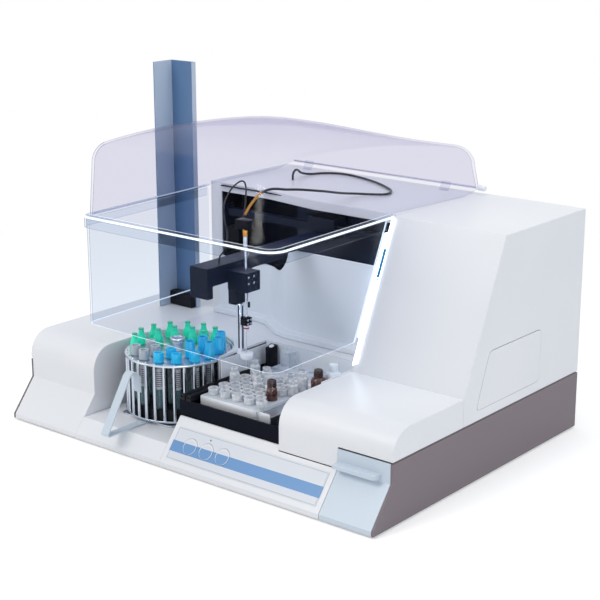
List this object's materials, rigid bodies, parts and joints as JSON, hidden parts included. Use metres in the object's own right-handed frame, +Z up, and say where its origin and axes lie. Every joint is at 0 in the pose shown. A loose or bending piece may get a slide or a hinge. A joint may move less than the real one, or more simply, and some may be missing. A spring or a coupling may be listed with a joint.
{
  "type": "coagulation analyzer",
  "caption": "Bench-top coagulation analyzer: clear hinged hood over a turning sample rotor, a sliding needle arm and a reagent bay, with keys, a waste drawer and a cuvette magazine.",
  "frame": {"origin": "middle of the footprint box, on the surface that the feet stand on", "axes": "+X to the instrument's right as seen from its front, +Y to its back, +Z up"},
  "size_m": [0.72, 0.5594, 0.552],
  "materials": {
    "white_shell": "satin powder coat",
    "white_plastic": "satin moulded plastic",
    "taupe_panel": "fine textured coat",
    "pale_blue": "satin coat",
    "key_film": "printed polyester film",
    "black_plastic": "satin black",
    "black_anodised": "black anodised",
    "aluminium": "satin",
    "steel": "brushed",
    "chrome": "polished",
    "clear_hood": "clear acrylic",
    "clear_plastic": "clear polystyrene",
    "light_diffuser": "lit diffuser",
    "amber_glass": "gloss",
    "milky_plastic": "translucent",
    "tube_plastic": "moulded closures on clear tubes",
    "board": "solder mask",
    "rubber": "matte"
  },
  "bodies": {
    "base": {"base_pan": "steel", "foot_front_left": "rubber", "foot_front_right": "rubber", "foot_rear_left": "rubber", "foot_rear_right": "rubber", "side_panel_right": "taupe_panel", "side_panel_left": "taupe_panel", "left_fairing": "white_shell", "rotor_bay": "white_shell", "deck_plate": "white_shell", "front_console": "white_shell", "keypad_film": "key_film", "right_front_cover": "white_shell", "tall_housing": "white_shell", "rear_housing": "white_shell", "rear_wall": "white_plastic", "rear_panel": "taupe_panel", "power_inlet": "black_plastic", "fan_frame": "black_plastic", "led_bar": "light_diffuser", "magazine_channel": "aluminium", "magazine_foot": "black_plastic", "reagent_bay": "black_anodised", "reagent_rails": "black_plastic", "cooling_block": "aluminium", "vial_rack": "clear_plastic", "amber_vial_front": "amber_glass", "amber_vial_rear": "amber_glass", "buffer_bottle": "milky_plastic", "stirrer_block": "black_anodised", "measuring_block": "clear_plastic", "x_rail": "steel", "x_motor": "black_plastic", "hinge_pin": "steel", "power_supply": "aluminium", "main_board": "board", "diluter_pump": "aluminium", "cable_loop": "rubber"},
    "hood": {"hood_lid": "clear_hood", "hood_skirt": "clear_hood"},
    "drawer": {"drawer_front": "pale_blue", "drawer_box": "steel", "waste_bin": "clear_plastic"},
    "tray": {"rotor_tray": "aluminium", "pull_handle": "pale_blue"},
    "rotor": {"rotor_cage": "chrome", "tube_holder": "tube_plastic", "rotor_knob": "aluminium"},
    "arm": {"arm_cover": "black_anodised", "x_carriage": "black_anodised", "sample_tube": "clear_plastic"},
    "head": {"needle_head": "black_anodised", "needle_guide": "chrome"},
    "needle_unit": {"needle": "steel"},
    "left_key": {"key_left": "key_film"},
    "middle_key": {"key_middle": "key_film"},
    "right_key": {"key_right": "key_film"},
    "hatch": {"hatch_panel": "white_shell"},
    "fan": {"fan_impeller": "black_plastic"},
    "rocker": {"power_rocker": "black_plastic"}
  },
  "joints": [
    {"name": "hood_hinge", "type": "hinge", "parent": "base", "child": "hood", "pos_m": [0, 0.26575, 0.366], "axis": [-1, 0, 0], "range_deg": [0, 70]},
    {"name": "drawer_slide", "type": "slide", "parent": "base", "child": "drawer", "axis": [0, -1, 0], "range_m": [0, 0.25]},
    {"name": "tray_slide", "type": "slide", "parent": "base", "child": "tray", "axis": [0, -1, 0], "range_m": [0, 0.15]},
    {"name": "rotor_spin", "type": "hinge", "parent": "tray", "child": "rotor", "pos_m": [-0.126, -0.11625, 0.084], "axis": [0, 0, 1], "continuous": true},
    {"name": "arm_slide", "type": "slide", "parent": "base", "child": "arm", "axis": [1, 0, 0], "range_m": [-0.07, 0.095], "deforming": ["cable_loop"]},
    {"name": "head_slide", "type": "slide", "parent": "arm", "child": "head", "axis": [0, 1, 0], "range_m": [-0.03, 0.11], "deforming": ["sample_tube"]},
    {"name": "needle_lift", "type": "slide", "parent": "head", "child": "needle_unit", "axis": [0, 0, 1], "range_m": [-0.025, 0.04]},
    {"name": "left_key_press", "type": "slide", "parent": "base", "child": "left_key", "axis": [0, 0.7838, -0.6211], "range_m": [0, 0.001], "stiffness_N_per_m": 600, "springref_m": -0.001},
    {"name": "middle_key_press", "type": "slide", "parent": "base", "child": "middle_key", "axis": [0, 0.7838, -0.6211], "range_m": [0, 0.001], "stiffness_N_per_m": 600, "springref_m": -0.001},
    {"name": "right_key_press", "type": "slide", "parent": "base", "child": "right_key", "axis": [0, 0.7838, -0.6211], "range_m": [0, 0.001], "stiffness_N_per_m": 600, "springref_m": -0.001},
    {"name": "hatch_lift_off", "type": "slide", "parent": "base", "child": "hatch", "axis": [1, 0, 0], "range_m": [0, 0.03]},
    {"name": "fan_spin", "type": "hinge", "parent": "base", "child": "fan", "pos_m": [0.215, 0.26425, 0.049], "axis": [0, 1, 0], "continuous": true},
    {"name": "rocker_tilt", "type": "hinge", "parent": "base", "child": "rocker", "pos_m": [-0.24, 0.27375, 0.042], "axis": [1, 0, 0], "range_deg": [-5, 5]}
  ]
}
